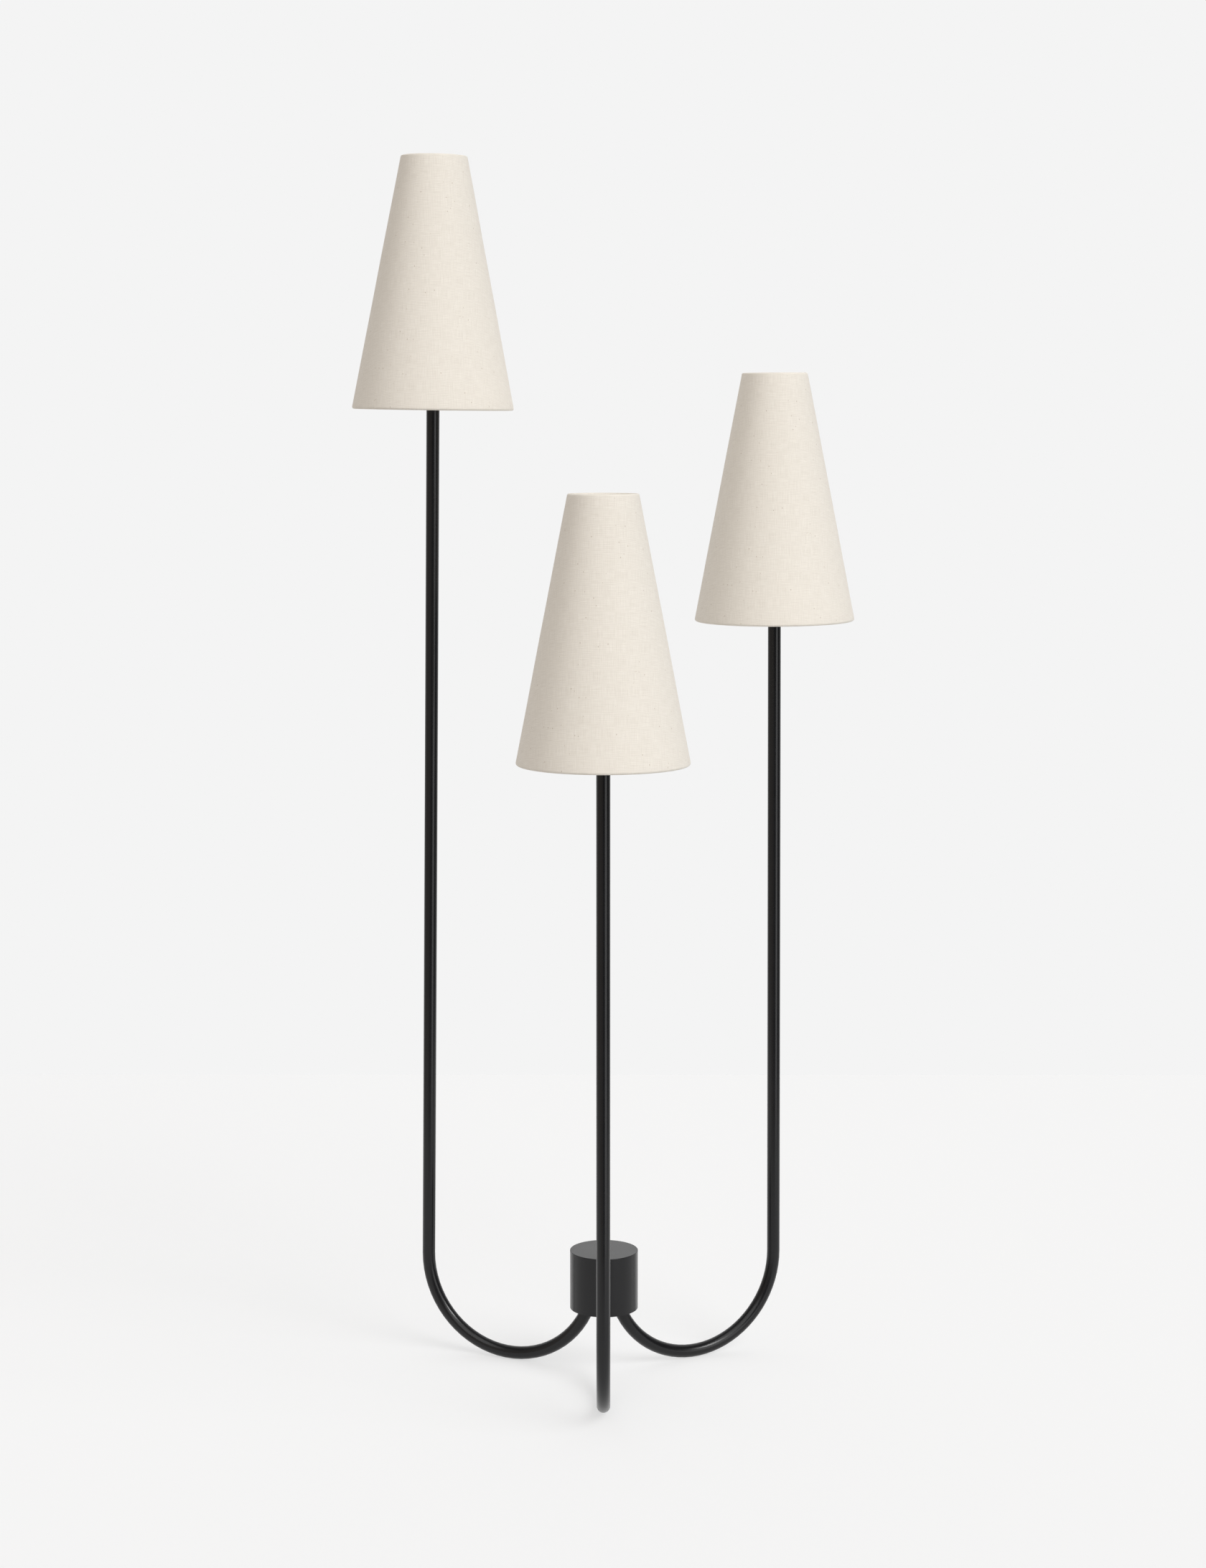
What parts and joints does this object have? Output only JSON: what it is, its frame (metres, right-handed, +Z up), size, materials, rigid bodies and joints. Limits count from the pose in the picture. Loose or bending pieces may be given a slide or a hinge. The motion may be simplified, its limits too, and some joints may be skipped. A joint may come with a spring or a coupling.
{
  "type": "tree floor lamp",
  "caption": "Tree floor lamp: bent tubes rise from one round hub, stand on their bends and carry tapered linen shades at different heights.",
  "frame": {"origin": "on the floor, under the axis of the hub", "axes": "+Z up along the hub axis; -Y towards the shortest arm, which is the front; +X towards the arm of middle height"},
  "size_m": [0.6167, 0.5428, 1.4905],
  "materials": {
    "black_steel": "satin black powder coat",
    "zinc_steel": "zinc plated",
    "cast_plate": "machined, oiled",
    "black_plastic": "moulded, semi gloss",
    "white_plastic": "moulded nylon",
    "white_styrene": "smooth sheet",
    "lead_sleeve": "extruded",
    "porcelain": "glazed",
    "brass": "bare, bright",
    "bulb_cap_metal": "bright",
    "solder": "dull",
    "opal_glass": "opal, satin",
    "ring_wire": "white epoxy coat",
    "linen": "plain woven, slubbed natural linen"
  },
  "bodies": {
    "frame": {"arm_left": "black_steel", "arm_right": "black_steel", "arm_front": "black_steel", "hub_shell": "black_steel", "bottom_plate": "black_steel", "arm_plate": "cast_plate", "tie_bolt": "zinc_steel", "tie_spacer": "zinc_steel", "arm_grub_screws": "zinc_steel", "cord_bush": "black_plastic", "terminal_block": "white_plastic", "terminal_screws": "brass", "terminal_fixing_screw": "zinc_steel", "earth_screw": "brass", "tube_end_bushes": "white_plastic", "spigots": "brass", "spigot_nuts": "brass", "centre_contacts": "brass", "socket_cap_left": "black_steel", "socket_cap_right": "black_steel", "socket_cap_front": "black_steel", "socket_shell_left": "black_steel", "socket_shell_right": "black_steel", "socket_shell_front": "black_steel", "socket_core_left": "porcelain", "socket_core_right": "porcelain", "socket_core_front": "porcelain", "screw_shell_left": "brass", "screw_shell_right": "brass", "screw_shell_front": "brass", "lead_left": "lead_sleeve", "lead_right": "lead_sleeve", "lead_front": "lead_sleeve"},
    "shade_left": {"shade_spider_left": "ring_wire", "shade_rings_left": "ring_wire", "shade_lining_left": "white_styrene", "shade_cover_left": "linen"},
    "ring_nut_left": {"ring_nut_left": "black_plastic"},
    "bulb_tip_left": {"bulb_tip_left": "solder"},
    "bulb_left": {"bulb_cap_left": "bulb_cap_metal", "bulb_glass_left": "opal_glass"},
    "knob_left": {"switch_knob_left": "black_plastic"},
    "shade_right": {"shade_spider_right": "ring_wire", "shade_rings_right": "ring_wire", "shade_lining_right": "white_styrene", "shade_cover_right": "linen"},
    "ring_nut_right": {"ring_nut_right": "black_plastic"},
    "bulb_tip_right": {"bulb_tip_right": "solder"},
    "bulb_right": {"bulb_cap_right": "bulb_cap_metal", "bulb_glass_right": "opal_glass"},
    "knob_right": {"switch_knob_right": "black_plastic"},
    "shade_front": {"shade_spider_front": "ring_wire", "shade_rings_front": "ring_wire", "shade_lining_front": "white_styrene", "shade_cover_front": "linen"},
    "ring_nut_front": {"ring_nut_front": "black_plastic"},
    "bulb_tip_front": {"bulb_tip_front": "solder"},
    "bulb_front": {"bulb_cap_front": "bulb_cap_metal", "bulb_glass_front": "opal_glass"},
    "knob_front": {"switch_knob_front": "black_plastic"}
  },
  "joints": [
    {"name": "shade_lift_left", "type": "slide", "parent": "frame", "child": "shade_left", "axis": [0.0129, -0.0055, 0.9999], "range_m": [0, 0.2]},
    {"name": "ring_nut_turn_left", "type": "hinge", "parent": "shade_left", "child": "ring_nut_left", "pos_m": [-0.20803, 0.0883, 1.26949], "axis": [0.0129, -0.0055, 0.9999], "continuous": true},
    {"name": "bulb_rise_left", "type": "slide", "parent": "frame", "child": "bulb_tip_left", "axis": [0.0129, -0.0055, 0.9999], "range_m": [0, 0.0128]},
    {"name": "bulb_turn_left", "type": "hinge", "parent": "bulb_tip_left", "child": "bulb_left", "pos_m": [-0.20802, 0.0883, 1.26999], "axis": [0.0129, -0.0055, 0.9999], "range_deg": [0, 1260]},
    {"name": "knob_turn_left", "type": "hinge", "parent": "frame", "child": "knob_left", "pos_m": [-0.23037, 0.09779, 1.25033], "axis": [-0.9204, 0.3907, 0.014], "continuous": true},
    {"name": "shade_lift_right", "type": "slide", "parent": "frame", "child": "shade_right", "axis": [-0.0062, -0.0032, 1], "range_m": [0, 0.2]},
    {"name": "ring_nut_turn_right", "type": "hinge", "parent": "shade_right", "child": "ring_nut_right", "pos_m": [0.2101, 0.10705, 1.0105], "axis": [-0.0062, -0.0032, 1], "continuous": true},
    {"name": "bulb_rise_right", "type": "slide", "parent": "frame", "child": "bulb_tip_right", "axis": [-0.0062, -0.0032, 1], "range_m": [0, 0.0128]},
    {"name": "bulb_turn_right", "type": "hinge", "parent": "bulb_tip_right", "child": "bulb_right", "pos_m": [0.2101, 0.10705, 1.011], "axis": [-0.0062, -0.0032, 1], "range_deg": [0, 1260]},
    {"name": "knob_turn_right", "type": "hinge", "parent": "frame", "child": "knob_right", "pos_m": [0.23161, 0.11801, 0.99117], "axis": [0.891, 0.454, 0.007], "continuous": true},
    {"name": "shade_lift_front", "type": "slide", "parent": "frame", "child": "shade_front", "axis": [0, 0.0052, 1], "range_m": [0, 0.2]},
    {"name": "ring_nut_turn_front", "type": "hinge", "parent": "shade_front", "child": "ring_nut_front", "pos_m": [0, -0.23807, 0.8735], "axis": [0, 0.0052, 1], "continuous": true},
    {"name": "bulb_rise_front", "type": "slide", "parent": "frame", "child": "bulb_tip_front", "axis": [0, 0.0052, 1], "range_m": [0, 0.0128]},
    {"name": "bulb_turn_front", "type": "hinge", "parent": "bulb_tip_front", "child": "bulb_front", "pos_m": [0, -0.23807, 0.874], "axis": [0, 0.0052, 1], "range_deg": [0, 1260]},
    {"name": "knob_turn_front", "type": "hinge", "parent": "frame", "child": "knob_front", "pos_m": [0, -0.26217, 0.85412], "axis": [0, -1, 0.0052], "continuous": true}
  ],
  "couplings": [
    {"joint": "bulb_rise_left", "follows": "bulb_turn_left", "m_per_rad": 0.0005776},
    {"joint": "bulb_rise_right", "follows": "bulb_turn_right", "m_per_rad": 0.0005776},
    {"joint": "bulb_rise_front", "follows": "bulb_turn_front", "m_per_rad": 0.0005776}
  ]
}
